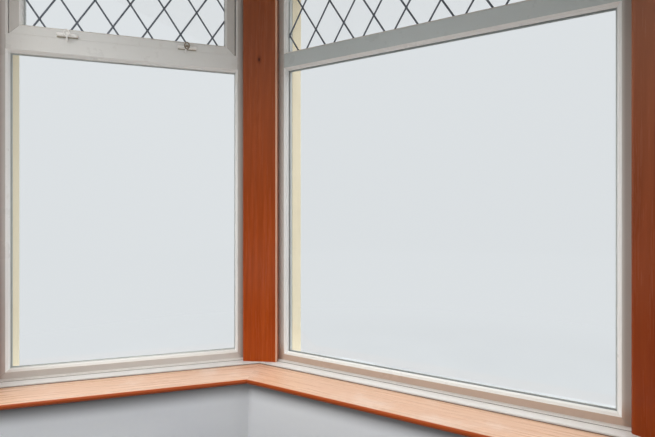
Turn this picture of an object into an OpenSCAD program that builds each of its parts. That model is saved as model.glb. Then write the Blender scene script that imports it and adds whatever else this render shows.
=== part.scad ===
// Splayed bay window of a house, from ground level up: masonry walls and
// piers, white timber frames with leaded top lights, stained posts and boards,
// and a low hipped slate roof. Millimetres, +Z up, the street side faces -Y.
//
// Every facet is drawn in its own flat frame: x runs along the facet, y is the
// depth measured from the room face of the glass (positive into the room).
// The front facet has x = 0 at its middle, a side facet has x = 0 at the corner.

/* [Plan] */
// Visible glass width of the front light
front_light_w = 1162; // [900:1:1500]
// Visible glass width of each side light
side_light_w = 830; // [600:1:1100]
// Angle between the front facet and a side facet
splay = 45; // [40:1:50]
// Depth from the glass out to the street face of the walls
wall_out = 114; // [100:1:130]
// Depth from the glass in to the plastered face of the dwarf walls
wall_in = 229; // [180:1:300]
// Masonry left on the room face between the end post and the house
end_return = 50; // [30:1:120]

/* [Heights] */
// Height of the white ledge under the frames above the ground
ledge_z = 840; // [700:1:1000]
// Visible glass height of the lower lights
lower_light_h = 1188; // [900:1:1500]
// Visible glass height of the front top light
fan_light_h = 360; // [300:1:480]
// Height of the lintels over the frames
lintel_h = 152; // [120:1:220]

/* [Frames] */
// Width of a frame member beyond the visible glass
frame_w = 45; // [40:1:60]
// Flat face height of the transom
transom_face = 58; // [45:1:80]
// Width of the bead and bevel beside the glass
bevel_w = 9; // [6:0.5:12]
// Width of the sloping bevel alone
bevel_run = 7; // [4:0.5:8]
// Depth of the frame face in front of the glass
face_in = 24; // [18:1:35]
// Depth of the frame behind the room face of the glass
face_out = 46; // [40:1:60]
// Thickness of the glass units
glass_t = 10; // [6:1:14]
// Thickness of the leaded glass in the top lights
leaded_t = 4; // [3:0.5:8]
// Depth of the glass in its groove
glass_bite = 8; // [5:1:12]
// Flat face width of the opening sash members
sash_face = 31.5; // [25:0.5:40]
// Gap beside and above an opening sash
sash_gap = 4; // [2:0.5:6]
// Gap below an opening sash
sash_seam = 0.8; // [0.5:0.1:2]
// Lip of the sash lapping the street face of the frame
sash_lip = 6; // [4:0.5:8]

/* [Leading] */
// Width of one leaded diamond
diamond_w = 128.3; // [90:0.1:160]
// Height of one leaded diamond in front
diamond_h = 208; // [150:1:260]
// Height of one leaded diamond in a sash
side_diamond_h = 197; // [150:1:260]
// Width of a lead came
came_w = 6; // [5:0.5:10]
// Thickness of the lead on each face of the glass
came_t = 1.5; // [1:0.5:3]
// Height of the lowest row of crossings above the front top glass
front_row = 76; // [40:1:100]
// Height of the lowest row of crossings above the sash glass
side_row = 34.5; // [10:0.5:60]

/* [Posts and boards] */
// Width of the stained corner posts
post_w = 148; // [120:1:170]
// Distance of the post face from the corner of the glass planes
post_face = 85; // [80:1:100]
// Radius on the edges of the posts
post_round = 8; // [3:1:12]
// Width of the half posts at the house
end_post_w = 60; // [45:1:80]
// Depth of the white ledge in front of the frames
ledge_w = 55; // [50:1:80]
// Height of the ledge edge above the window board
ledge_step = 6; // [3:1:12]
// Thickness of the window boards
board_t = 18; // [16:1:30]
// Overhang of the board nosing past the plaster
board_lap = 20; // [10:1:35]

/* [Street side] */
// Projection of the masonry sill past the wall face
sill_lap = 45; // [30:1:60]
// Thickness of the masonry sill at the nose
sill_t = 62; // [50:1:90]
// Fall of the sill from the frame to its nose
sill_fall = 16; // [8:1:24]
// Lap of the masonry reveals beyond the visible glass
reveal_lap = 11; // [8:1:20]
// Height of the plinth
plinth_h = 150; // [100:1:250]
// Projection of the plinth past the wall face
plinth_lap = 14; // [8:1:25]

/* [Roof] */
// Pitch of the roof slopes
pitch = 27.5; // [20:0.5:35]
// Overhang of the fascia face past the wall face
eaves_lap = 130; // [90:1:180]
// Thickness of the slates and boarding
roof_t = 30; // [25:1:40]
// Depth of the rafters
rafter_d = 95; // [75:1:125]
// Width of a rafter or joist
rafter_w = 47; // [38:1:63]
// Distance between rafters or joists
rafter_step = 400; // [350:10:600]
// Height of the ceiling above the underside of the lintels
ceiling_rise = 52; // [20:1:100]
// Outer radius of the half round gutter
gutter_r = 56; // [45:1:65]

/* [Hidden] */

half = splay / 2;
big = 6000;
fit = 0.5;

// The post sides run along the corner's bisector, so across a facet the post
// takes post_w / 2 / cos(half), plus what the slope adds at the frame's face.
post_reach = post_w / 2 / cos(half);
stile_edge = post_reach + 3;
corner_run = stile_edge + frame_w;
corner_x = front_light_w / 2 + corner_run;
face_plane = face_in + 0.3;

side_glass_end = corner_run + side_light_w;
side_frame_end = side_glass_end + frame_w;
jamb_x = side_frame_end + fit;
inner_jamb_x = jamb_x + end_post_w - 6;
ledge_in = face_plane + ledge_w;
back_y = (inner_jamb_x + end_return) * sin(splay) + wall_in * cos(splay);

glass_z = ledge_z + 31 + bevel_w - 1;
transom_z = glass_z + lower_light_h + bevel_w;
fan_z = transom_z + transom_face + bevel_w;
fan_top = fan_z + fan_light_h;
frame_top = fan_top + frame_w;
lintel_top = frame_top + lintel_h;
ceiling_z = frame_top + ceiling_rise;
ceiling_t = 12;

board_top = ledge_z - ledge_step;
board_z = board_top - board_t;
board_joint = 5;
sill_back_z = ledge_z + 12;
sill_seat_z = ledge_z;
sill_nose_z = sill_back_z - sill_fall;
sill_z = sill_nose_z - sill_t;

sash_open_z = transom_z + transom_face;
sash_open_top = fan_top + 1;
sash_glass_in = sash_gap - 1 + sash_face + bevel_w;
sash_front = face_in - fit;
sash_glass_z = sash_open_z + sash_face + bevel_w;
sash_glass_top = sash_open_top - sash_gap - sash_face - bevel_w;

eaves_d = -wall_out - eaves_lap;
gutter_y = eaves_d - gutter_r - fit;
mid_y = (back_y + gutter_y - gutter_r) / 2;

slope = tan(pitch);
hip_rise = atan(slope * cos(half));
hip_wing = 190;
hip_roll_r = 22;
lead_t = 3;
rafter_foot = -20;
rafter_t = rafter_d / cos(pitch);
deck_t = roof_t / cos(pitch);
fascia_t = 20;
soffit_t = 9;
slate_drip = 35;

// Half width of the front facet at a depth
function mitre_x(d) = corner_x - d * tan(half);
// Half width of the bay along the house wall at a depth
function back_x(d) = corner_x + (back_y - d * cos(splay)) / tan(splay) - d * sin(splay);
// Place across and along the bisector of a corner from a facet's own x and y
function across(x, d) = x * cos(half) - d * sin(half);
function along(x, d) = x * sin(half) + d * cos(half);
// Height of the underside of the rafters and of the deck at a depth
function rafter_z(d) = lintel_top + (d - rafter_foot) * slope;
function deck_z(d) = rafter_z(d) + rafter_t;

// Plan band of the front facet between two depths, short of the mitres by a gap
module front_band(d1, d2, gap = 0) {
    x1 = mitre_x(d1) - gap;
    x2 = mitre_x(d2) - gap;
    polygon([[-x1, d1], [x1, d1], [x2, d2], [-x2, d2]]);
}

// Plan band of the right side facet between two depths, up to the house wall
module side_band(d1, d2, gap = 0) {
    polygon([
        [mitre_x(d1) + gap, d1], [back_x(d1), back_y],
        [back_x(d2), back_y], [mitre_x(d2) + gap, d2]
    ]);
}

// Plan of the room inside a depth
module room_plan(d) {
    polygon([[-mitre_x(d), d], [mitre_x(d), d], [back_x(d), back_y], [-back_x(d), back_y]]);
}

// Moves a side facet's own frame to the right corner
module at_side() {
    translate([corner_x, 0, 0]) rotate([0, 0, splay]) children();
}

// Moves a corner's bisector frame to the right corner: x across, y inwards
module at_corner() {
    translate([corner_x, 0, 0]) rotate([0, 0, half]) children();
}

module mirrored() {
    mirror([1, 0, 0]) children();
}

// Moves the middle of the whole depth to y = 0
module placed() {
    translate([0, -mid_y, 0]) children();
}

// Runs a profile of depth and height along x
module run(from, to) {
    translate([from, 0, 0]) rotate([90, 0, 90]) linear_extrude(to - from) children();
}

// A plan drawn up through the whole height, and past both ends of it
module tall() {
    translate([0, 0, -big / 10]) linear_extrude(big) children();
}

// A profile mitred along the front facet between two depths
module front_run(d1, d2, gap = 0) {
    intersection() {
        run(-big / 2, big / 2) children();
        tall() front_band(d1, d2, gap);
    }
}

// A profile mitred along the right side facet between two depths
module side_run(d1, d2, gap = 0) {
    intersection() {
        at_side() run(-big / 4, big / 2) children();
        tall() side_band(d1, d2, gap);
    }
}

// Masonry

module dwarf_profile() {
    polygon([
        [-wall_out - plinth_lap, 0], [wall_in, 0], [wall_in, board_z],
        [face_plane, board_z], [face_plane, sill_z], [-wall_out, sill_z],
        [-wall_out, plinth_h + plinth_lap], [-wall_out - plinth_lap, plinth_h]
    ]);
}

module dwarf_wall_front() {
    color("wheat") front_run(-wall_out - plinth_lap, wall_in) dwarf_profile();
}

module dwarf_wall_side() {
    color("wheat") side_run(-wall_out - plinth_lap, wall_in) dwarf_profile();
}

// Sloping sill with a level seat for the frame and a drip under the nose
module sill_profile() {
    nose = -wall_out - sill_lap;
    polygon([
        [nose, sill_z + 5], [nose + 5, sill_z], [nose + 12, sill_z],
        [nose + 12, sill_z + 8], [nose + 22, sill_z + 8], [nose + 22, sill_z],
        [face_plane, sill_z], [face_plane, sill_seat_z],
        [-face_out - 1, sill_seat_z], [-face_out - 1, sill_back_z],
        [nose + 4, sill_nose_z], [nose, sill_nose_z - 4]
    ]);
}

module sill_front() {
    color("lightgray") front_run(-wall_out - sill_lap, face_plane) sill_profile();
}

module sill_side() {
    color("lightgray") side_run(-wall_out - sill_lap, face_plane) sill_profile();
}

// Lintel with an outer leaf that laps down over the frame
module lintel_profile() {
    polygon([
        [-wall_out, fan_top + reveal_lap], [-face_out - 1, fan_top + reveal_lap],
        [-face_out - 1, frame_top], [ledge_in, frame_top],
        [ledge_in, lintel_top], [-wall_out, lintel_top]
    ]);
}

module lintel_front() {
    color("wheat") front_run(-wall_out, ledge_in) lintel_profile();
}

module lintel_side() {
    color("wheat") side_run(-wall_out, ledge_in) lintel_profile();
}

// A pier seen from its side: seated on the sill, lapped by the lintel
module pier_profile() {
    fall = sill_fall / (wall_out + sill_lap - face_out - 5);
    polygon([
        [-wall_out, sill_back_z - (wall_out - face_out - 1) * fall],
        [-face_out - 1, sill_back_z], [-face_out - 1, sill_seat_z], [0, sill_seat_z],
        [0, frame_top], [-face_out - 1, frame_top],
        [-face_out - 1, fan_top + reveal_lap], [-wall_out, fan_top + reveal_lap]
    ]);
}

// Depth of the face where a corner pier meets the post's tongue
pier_in = -20;

// The part of a corner pier that stands in a side facet's frame
module pier_half() {
    reveal_x = corner_run - reveal_lap;
    edge = stile_edge - fit;
    intersection() {
        run(-big / 4, big / 4) pier_profile();
        tall() polygon([
            [-wall_out * tan(half), -wall_out], [reveal_x, -wall_out],
            [reveal_x, -face_out - fit], [edge, -face_out - fit],
            [edge, pier_in], [pier_in * tan(half), pier_in]
        ]);
    }
}

// The two halves meet on the bisector, and a core inside both makes them one solid
module corner_pier() {
    edge = stile_edge - fit;
    core_w = 30;
    core_y = 15 - wall_out;
    color("wheat") union() {
        at_side() pier_half();
        translate([corner_x, 0, 0]) mirror([1, 0, 0]) pier_half();
        at_corner() translate([0, 0, sill_seat_z]) linear_extrude(frame_top - sill_seat_z)
            polygon([
                [0, pier_in / cos(half)],
                [across(edge, pier_in), along(edge, pier_in)],
                [-across(edge, pier_in), along(edge, pier_in)]
            ]);
        at_corner() translate([-core_w / 2, core_y, sill_back_z + 10])
            cube([core_w, pier_in - 10 - core_y, fan_top - sill_back_z - 20]);
    }
}

module end_pier() {
    color("wheat") difference() {
        translate([0, 0, board_z]) linear_extrude(ceiling_z - board_z) intersection() {
            translate([corner_x, 0]) rotate(splay) polygon([
                [side_glass_end + reveal_lap, -wall_out], [big / 2, -wall_out],
                [big / 2, wall_in], [inner_jamb_x, wall_in],
                [inner_jamb_x, face_plane], [jamb_x, face_plane],
                [jamb_x, -face_out - fit], [side_glass_end + reveal_lap, -face_out - fit]
            ]);
            side_band(-wall_out, wall_in);
        }
        sill_side();
        lintel_side();
    }
}

// Frames, sashes and glass

// An opening through a frame, wide at both faces, with a bevel that mitres at
// the corners. x0 to x1 and z0 to z1 are the edges of the visible glass, and t
// is its thickness.
module bevelled_opening(x0, x1, z0, z1, t = glass_t) {
    bead = bevel_w - bevel_run;
    steps = [
        [-face_out - 1, bevel_w + 3], [-t - 14, bevel_w + 3], [-t, 0],
        [0, 0], [face_in - bevel_run, bead], [face_in, bevel_w], [face_in + 1, bevel_w]
    ];
    intersection() {
        translate([0, 0, z0 - 50]) linear_extrude(z1 - z0 + 100) polygon(concat(
            [for (s = steps) [x0 - s[1], s[0]]],
            [for (i = [len(steps) - 1:-1:0]) [x1 + steps[i][1], steps[i][0]]]
        ));
        run(x0 - 50, x1 + 50) polygon(concat(
            [for (s = steps) [s[0], z0 - s[1]]],
            [for (i = [len(steps) - 1:-1:0]) [steps[i][0], z1 + steps[i][1]]]
        ));
    }
    translate([x0 - glass_bite, -t, z0 - glass_bite])
        cube([x1 - x0 + 2 * glass_bite, t, z1 - z0 + 2 * glass_bite]);
}

module frame_block(x0, x1) {
    translate([x0 - frame_w, -face_out, ledge_z])
        cube([x1 - x0 + 2 * frame_w, face_out + face_in, frame_top - ledge_z]);
}

module frame_front() {
    w = front_light_w / 2;
    color("whitesmoke") difference() {
        frame_block(-w, w);
        bevelled_opening(-w, w, glass_z, glass_z + lower_light_h);
        bevelled_opening(-w, w, fan_z, fan_top, leaded_t);
    }
}

module frame_side() {
    x0 = corner_run;
    x1 = side_glass_end;
    color("whitesmoke") at_side() difference() {
        frame_block(x0, x1);
        bevelled_opening(x0, x1, glass_z, glass_z + lower_light_h);
        translate([x0 - 1, -face_out - 1, sash_open_z])
            cube([x1 - x0 + 2, face_out + face_in + 2, sash_open_top - sash_open_z]);
    }
}

// Opening sash whose lip laps the street face of the frame
module sash_side() {
    x0 = corner_run - 1;
    x1 = side_glass_end + 1;
    z0 = sash_open_z;
    z1 = sash_open_top;
    lip_t = 12;
    color("whitesmoke") at_side() difference() {
        union() {
            translate([x0 + sash_gap, -face_out - 1, z0 + sash_seam])
                cube([x1 - x0 - 2 * sash_gap, sash_front + face_out + 1, z1 - z0 - sash_gap - sash_seam]);
            translate([x0 - sash_lip, -face_out - lip_t, z0 - sash_lip])
                cube([x1 - x0 + 2 * sash_lip, lip_t, z1 - z0 + 2 * sash_lip]);
        }
        bevelled_opening(
            corner_run + sash_glass_in, side_glass_end - sash_glass_in,
            sash_glass_z, sash_glass_top, leaded_t
        );
        translate([corner_run + sash_glass_in - bevel_w - 3, -face_out - lip_t - 1,
                   sash_glass_z - bevel_w - 3])
            cube([side_light_w - 2 * sash_glass_in + 2 * bevel_w + 6, lip_t + 2,
                  sash_glass_top - sash_glass_z + 2 * bevel_w + 6]);
    }
}

module pane(x0, x1, z0, z1, t = glass_t) {
    edge = glass_bite - fit;
    translate([x0 - edge, -t, z0 - edge])
        cube([x1 - x0 + 2 * edge, t, z1 - z0 + 2 * edge]);
}

module glass_front() {
    w = front_light_w / 2;
    color("lightcyan") {
        pane(-w, w, glass_z, glass_z + lower_light_h);
        pane(-w, w, fan_z, fan_top, leaded_t);
    }
}

module glass_side() {
    color("lightcyan") at_side() {
        pane(corner_run, side_glass_end, glass_z, glass_z + lower_light_h);
        pane(corner_run + sash_glass_in, side_glass_end - sash_glass_in,
             sash_glass_z, sash_glass_top, leaded_t);
    }
}

// Flat lattice of crossing cames, centred on x = 0, cut to a pane. The lowest
// row of crossings is at height row, half a diamond either side of the middle.
module lattice(w, h, row, diamond) {
    rise = diamond / diamond_w;
    across_w = came_w * sqrt(1 + 1 / pow(rise, 2));
    reach = ceil((w / 2 + h / rise) / diamond_w) + 1;
    intersection() {
        translate([-w / 2, 0]) square([w, h]);
        union() {
            for (k = [-reach:reach], way = [-1, 1]) {
                foot = (k + 0.5) * diamond_w - way * row / rise;
                head = foot + way * h / rise;
                polygon([
                    [foot - across_w / 2, 0], [foot + across_w / 2, 0],
                    [head + across_w / 2, h], [head - across_w / 2, h]
                ]);
            }
        }
    }
}

// The lattice on both faces of a pane
module leading(x0, x1, z0, z1, row, diamond) {
    for (d = [-leaded_t - came_t, 0])
        translate([(x0 + x1) / 2, d + came_t, z0]) rotate([90, 0, 0])
            linear_extrude(came_t) lattice(x1 - x0, z1 - z0, row, diamond);
}

module leading_front() {
    color("dimgray")
        leading(-front_light_w / 2, front_light_w / 2, fan_z, fan_top, front_row, diamond_h);
}

module leading_side() {
    color("dimgray") at_side()
        leading(corner_run + sash_glass_in, side_glass_end - sash_glass_in,
                sash_glass_z, sash_glass_top, side_row, side_diamond_h);
}

// Catch on the bottom rail of a sash: a rounded bar and a turn lever
module catch_piece() {
    bar_l = 76;
    bar_h = 16;
    bar_t = 7;
    boss_r = 8;
    boss_t = 15;
    lever_w = 9;
    lever_h = 22;
    rotate([90, 0, 180]) {
        translate([-bar_l / 2 + bar_h / 2, -bar_h / 2, 0]) cube([bar_l - bar_h, bar_h, bar_t]);
        for (side = [-1, 1])
            translate([side * (bar_l / 2 - bar_h / 2), 0, 0])
                cylinder(h = bar_t, r = bar_h / 2, $fn = 32);
        cylinder(h = boss_t, r = boss_r, $fn = 32);
        translate([-lever_w / 2, -lever_h, bar_t]) cube([lever_w, lever_h, boss_t - bar_t]);
        translate([0, -lever_h, bar_t]) cylinder(h = boss_t - bar_t, r = lever_w / 2 + 1, $fn = 32);
    }
}

catch_in = 196;

module catches() {
    z = sash_open_z + sash_face / 2 - 3;
    color("silver") for (flip = [0, 1]) mirror([flip, 0, 0]) at_side()
        for (x = [corner_run + catch_in, side_glass_end - catch_in])
            translate([x, sash_front, z]) catch_piece();
}

// Ledges, boards and posts

module ledge_profile() {
    r = 3;
    union() {
        translate([face_plane, board_z]) square([ledge_w, ledge_z - board_z - r]);
        translate([face_plane, board_z]) square([ledge_w - r, ledge_z - board_z]);
        translate([ledge_in - r, ledge_z - r]) circle(r = r, $fn = 24);
    }
}

module ledge_front() {
    color("white") front_run(face_plane, ledge_in) ledge_profile();
}

module ledge_side() {
    color("white") intersection() {
        side_run(face_plane, ledge_in) ledge_profile();
        at_side() translate([-big / 4, -big / 4, 0])
            cube([big / 4 + inner_jamb_x, big, big]);
    }
}

// Window board with a half round nosing
module board_profile() {
    from = ledge_in + board_joint;
    to = wall_in + board_lap;
    translate([from, board_z]) square([to - from - board_t / 2, board_t]);
    translate([to - board_t / 2, board_z + board_t / 2]) circle(r = board_t / 2, $fn = 32);
}

module board_front() {
    color("peru") front_run(ledge_in, wall_in + board_lap) board_profile();
}

module board_side() {
    color("peru") intersection() {
        side_run(ledge_in, wall_in + board_lap) board_profile();
        at_side() translate([-big / 4, -big / 4, 0])
            cube([big / 4 + inner_jamb_x, big, big]);
    }
}

// Corner post: a rounded head that laps the frames and a tongue between them
module corner_post() {
    edge = stile_edge - fit;
    neck = [across(edge, face_plane), along(edge, face_plane)];
    root = [across(edge, -20), along(edge, -20) + fit];
    cheek_y = (face_plane + post_w / 2 * sin(half)) / cos(half);
    x = post_w / 2;
    r = post_round;
    color("sienna") at_corner() translate([0, 0, ledge_z]) linear_extrude(frame_top - ledge_z) union() {
        polygon([
            [-root[0], root[1]], [root[0], root[1]], neck, [x, cheek_y], [x, post_face - r],
            [x - r, post_face], [r - x, post_face], [-x, post_face - r], [-x, cheek_y],
            [-neck[0], neck[1]]
        ]);
        for (side = [-1, 1])
            translate([side * (x - r), post_face - r]) circle(r = r, $fn = 32);
    }
}

// Half post that covers the joint between the frame and the plaster
module end_post() {
    depth = ledge_w - 6;
    r = post_round;
    x0 = inner_jamb_x - end_post_w;
    color("sienna") at_side() translate([0, 0, ledge_z]) linear_extrude(frame_top - ledge_z) union() {
        translate([x0, face_plane]) square([end_post_w, depth - r]);
        translate([x0 + r, face_plane]) square([end_post_w - r, depth]);
        translate([x0 + r, face_plane + depth - r]) circle(r = r, $fn = 32);
    }
}

// Ceiling and roof

module ceiling() {
    color("white") translate([0, 0, ceiling_z]) linear_extrude(ceiling_t) room_plan(ledge_in);
}

module joists() {
    count = floor(back_x(ledge_in) / rafter_step);
    color("burlywood") translate([0, 0, ceiling_z + ceiling_t]) linear_extrude(rafter_d - fit)
        intersection() {
            room_plan(ledge_in);
            union() for (i = [-count:count])
                translate([i * rafter_step - rafter_w / 2, 0]) square([rafter_w, big]);
        }
}

// Rafter seen from its side, seated on the lintel
module rafter_profile() {
    reach = back_y / sin(splay);
    polygon([
        [-wall_out, lintel_top], [rafter_foot, lintel_top], [reach, rafter_z(reach)],
        [reach, deck_z(reach)], [-wall_out, deck_z(-wall_out)]
    ]);
}

// Hip rafter seen from its side, in the bisector's direction
module hip_profile() {
    reach = back_y / cos(half);
    foot = rafter_foot / cos(half);
    tail = -wall_out / cos(half);
    polygon([
        [tail, lintel_top], [foot, lintel_top],
        [reach, rafter_z(reach * cos(half))], [reach, deck_z(reach * cos(half)) - 10],
        [tail, deck_z(tail * cos(half)) - 10]
    ]);
}

module hip_strip(w) {
    translate([corner_x, 0]) rotate(half) translate([-w / 2, -big / 4]) square([w, big]);
}

module rafters() {
    gap = rafter_w + 4;
    front_count = floor(mitre_x(-wall_out) / rafter_step);
    side_count = floor(side_frame_end / rafter_step);
    color("burlywood") intersection() {
        union() {
            intersection() {
                for (i = [-front_count:front_count])
                    run(i * rafter_step - rafter_w / 2, i * rafter_step + rafter_w / 2)
                        rafter_profile();
                tall() difference() {
                    front_band(-wall_out, back_y);
                    hip_strip(gap);
                    mirrored() hip_strip(gap);
                }
            }
            for (flip = [0, 1]) mirror([flip, 0, 0]) {
                intersection() {
                    at_side() for (i = [1:side_count + 1])
                        run(i * rafter_step - rafter_w / 2, i * rafter_step + rafter_w / 2)
                            rafter_profile();
                    tall() difference() {
                        side_band(-wall_out, back_y);
                        hip_strip(gap);
                    }
                }
                at_corner() rotate([90, 0, 90]) translate([0, 0, -rafter_w / 2])
                    linear_extrude(rafter_w) hip_profile();
            }
        }
        translate([-big / 2, -big / 2, 0]) cube([big, big / 2 + back_y, big]);
    }
}

// Fascia and soffit boards under the edge of the slates
module eaves_profile() {
    top = deck_z(eaves_d);
    soffit_z = top - 75;
    polygon([
        [eaves_d, soffit_z - 10], [eaves_d + fascia_t, soffit_z - 10],
        [eaves_d + fascia_t, soffit_z], [-wall_out, soffit_z],
        [-wall_out, soffit_z + soffit_t], [eaves_d + fascia_t, soffit_z + soffit_t],
        [eaves_d + fascia_t, deck_z(eaves_d + fascia_t)], [eaves_d, top]
    ]);
}

module eaves() {
    color("white") union() {
        front_run(eaves_d, -wall_out) eaves_profile();
        side_run(eaves_d, -wall_out) eaves_profile();
        mirrored() side_run(eaves_d, -wall_out) eaves_profile();
    }
}

// Skin of the roof between two heights above the deck's underside
module roof_profile(low, high) {
    reach = back_y / sin(splay) + 10;
    from = eaves_d - slate_drip;
    polygon([
        [from, deck_z(from) + low], [reach, deck_z(reach) + low],
        [reach, deck_z(reach) + high], [from, deck_z(from) + high]
    ]);
}

// Plan of the roof within a distance of the house wall
module near_wall(reach) {
    translate([-big / 2, back_y - reach]) square([big, reach]);
}

module front_skin(low, high, reach = big / 2) {
    intersection() {
        run(-big / 2, big / 2) roof_profile(low, high);
        tall() intersection() {
            front_band(eaves_d - slate_drip, back_y);
            near_wall(reach);
        }
    }
}

module side_skin(low, high, reach = big / 2) {
    start = eaves_d - slate_drip;
    intersection() {
        at_side() run(-big / 4, big / 2) roof_profile(low, high);
        tall() intersection() {
            polygon([[mitre_x(start), start], [back_x(start), back_y], [mitre_x(back_y), back_y]]);
            near_wall(reach);
        }
    }
}

module roof_front() {
    color("slategray") front_skin(0, deck_t);
}

module roof_side() {
    color("slategray") side_skin(0, deck_t);
}

// Section across a hip's lead: two wings on the slates and a roll between them
module hip_lead_profile() {
    w = hip_wing / 2;
    drop = w * sin(half) * slope * cos(hip_rise);
    difference() {
        union() {
            polygon([[-w, -drop], [0, 0], [w, -drop], [w, lead_t - drop], [0, lead_t], [-w, lead_t - drop]]);
            circle(r = hip_roll_r, $fn = 32);
        }
        polygon([[-2 * w, -2 * drop], [0, 0], [2 * w, -2 * drop], [2 * w, -hip_wing], [-2 * w, -hip_wing]]);
    }
}

// Lead along the right hip, from the slates' edge to the house wall
module hip_lead() {
    edge = eaves_d - slate_drip;
    start = edge / cos(half);
    length = (back_y / cos(half) - start) / cos(hip_rise);
    intersection() {
        at_corner() translate([0, start, deck_z(edge) + deck_t])
            rotate([hip_rise - 90, 0, 0]) rotate(180) translate([0, 0, -hip_wing])
                linear_extrude(length + 2 * hip_wing) hip_lead_profile();
        tall() polygon([[0, edge], [mitre_x(edge), edge], [back_x(edge), back_y], [0, back_y]]);
    }
}

module hip_leads() {
    color("gray") union() {
        hip_lead();
        mirrored() hip_lead();
    }
}

// Lead flashing against the house wall, over the slates and turned up the wall
module flashing() {
    cover = 130;
    upstand = 90;
    color("gray") difference() {
        union() {
            front_skin(deck_t, deck_t + upstand, lead_t);
            front_skin(deck_t, deck_t + lead_t, cover);
            for (flip = [0, 1]) mirror([flip, 0, 0]) {
                side_skin(deck_t, deck_t + upstand, lead_t);
                side_skin(deck_t, deck_t + lead_t, cover);
            }
        }
        hip_leads();
    }
}

// Half round gutter hung on the fascia
module gutter_profile() {
    wall = 3;
    centre = [gutter_y, deck_z(eaves_d) - 22];
    translate(centre) intersection() {
        difference() {
            circle(r = gutter_r, $fn = 64);
            circle(r = gutter_r - wall, $fn = 64);
        }
        translate([-gutter_r, -gutter_r]) square([2 * gutter_r, gutter_r]);
    }
}

module gutter() {
    outer = gutter_y - gutter_r - 2;
    color("white") {
        front_run(outer, eaves_d, fit) gutter_profile();
        side_run(outer, eaves_d, fit) gutter_profile();
        mirrored() side_run(outer, eaves_d, fit) gutter_profile();
    }
}

placed() dwarf_wall_front();
placed() mirrored() dwarf_wall_side();  // dwarf_wall_left
placed() dwarf_wall_side();  // dwarf_wall_right
placed() sill_front();
placed() mirrored() sill_side();  // sill_left
placed() sill_side();  // sill_right
placed() mirrored() corner_pier();  // corner_pier_left
placed() corner_pier();  // corner_pier_right
placed() mirrored() end_pier();  // end_pier_left
placed() end_pier();  // end_pier_right
placed() lintel_front();
placed() mirrored() lintel_side();  // lintel_left
placed() lintel_side();  // lintel_right
placed() frame_front();
placed() mirrored() frame_side();  // frame_left
placed() frame_side();  // frame_right
placed() mirrored() sash_side();  // sash_left
placed() sash_side();  // sash_right
placed() glass_front();
placed() mirrored() glass_side();  // glass_left
placed() glass_side();  // glass_right
placed() leading_front();
placed() mirrored() leading_side();  // leading_left
placed() leading_side();  // leading_right
placed() catches();
placed() ledge_front();
placed() mirrored() ledge_side();  // ledge_left
placed() ledge_side();  // ledge_right
placed() board_front();
placed() mirrored() board_side();  // board_left
placed() board_side();  // board_right
placed() mirrored() corner_post();  // corner_post_left
placed() corner_post();  // corner_post_right
placed() mirrored() end_post();  // end_post_left
placed() end_post();  // end_post_right
placed() ceiling();
placed() joists();
placed() rafters();
placed() eaves();
placed() roof_front();
placed() mirrored() roof_side();  // roof_left
placed() roof_side();  // roof_right
placed() hip_leads();
placed() flashing();
placed() gutter();
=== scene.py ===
"""Looks of a splayed bay window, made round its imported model.

Metres, +Z up. The street side faces -Y and the room side +Y. Left and right are as seen from the street. Each
facet has a flat frame of its own: x runs along the facet, d is the depth from the room face of the glass,
positive into the room, and z is the height. A colour is (red, green, blue) on a 0 to 255 display scale.
"""

import math
import random
from collections import namedtuple
from functools import cached_property
from itertools import product

import bmesh
import bpy
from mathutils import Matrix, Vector


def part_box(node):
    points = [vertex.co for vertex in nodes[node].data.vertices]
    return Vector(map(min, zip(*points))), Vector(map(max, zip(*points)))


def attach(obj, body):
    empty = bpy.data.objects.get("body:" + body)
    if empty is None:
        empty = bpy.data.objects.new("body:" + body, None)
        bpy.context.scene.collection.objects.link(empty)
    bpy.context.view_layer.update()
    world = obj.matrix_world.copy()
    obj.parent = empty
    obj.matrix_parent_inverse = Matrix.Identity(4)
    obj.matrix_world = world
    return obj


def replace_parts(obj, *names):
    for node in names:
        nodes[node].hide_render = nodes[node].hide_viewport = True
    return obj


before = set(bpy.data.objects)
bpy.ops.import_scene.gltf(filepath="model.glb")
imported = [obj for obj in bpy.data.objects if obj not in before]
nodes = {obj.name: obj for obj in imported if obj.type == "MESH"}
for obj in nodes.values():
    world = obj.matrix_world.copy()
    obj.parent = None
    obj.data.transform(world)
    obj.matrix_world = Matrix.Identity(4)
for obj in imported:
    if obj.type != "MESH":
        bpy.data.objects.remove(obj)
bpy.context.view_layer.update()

# Sizes

SPLAY = math.radians(45)
PITCH = math.radians(27.5)
HALF = SPLAY / 2
LEAN = math.tan(HALF)  # how far a mitre moves along a facet per metre of depth
FACE = 0.024  # depth of the frames' room face
STREET_FACE = -0.046  # depth of the frames' street face
SASH_FACE = 0.0235  # depth of the sashes' room face
SASH_STILE = 0.0405  # width of a sash's stiles and head rail beside the visible glass
SASH_FOOT = 0.0397  # width of its foot rail
GLASS_T = 0.010
LEADED_T = 0.004
BEVEL = 0.009  # width of bead and bevel beside the glass
FRAME_W = 0.045  # width of a frame member beside the visible glass
GLASS_EDGE = 0.0075  # how far a pane runs into its groove
SEAT_Z = 0.012  # height of the masonry sill's back edge over the ledge
PLASTER_D = 0.229  # depth of the dwarf walls' plastered face
WALL_D = -0.114  # depth of the walls' street face
RENDER_T = 0.019  # thickness of the render on the street face
PLASTER_T = 0.013  # thickness of the plaster on the room face
LEDGE_IN = 0.0793  # depth of the ledge's edge
BOARD_IN = 0.0843  # depth where the window board begins
BOARD_DROP = 0.006  # step from the ledge down to the board
CORNER_POST_W = 0.148
POST_REACH = CORNER_POST_W / 2 / math.cos(HALF)  # half a corner post's width across a facet
END_POST_W = 0.060
END_POST_LAP = 0.0055  # how far an end post covers the side frame
CAME_T = 0.0015  # thickness of the lead on the glass
LEAD_TUCK = 0.005  # how far the leads run on under the beads
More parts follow.
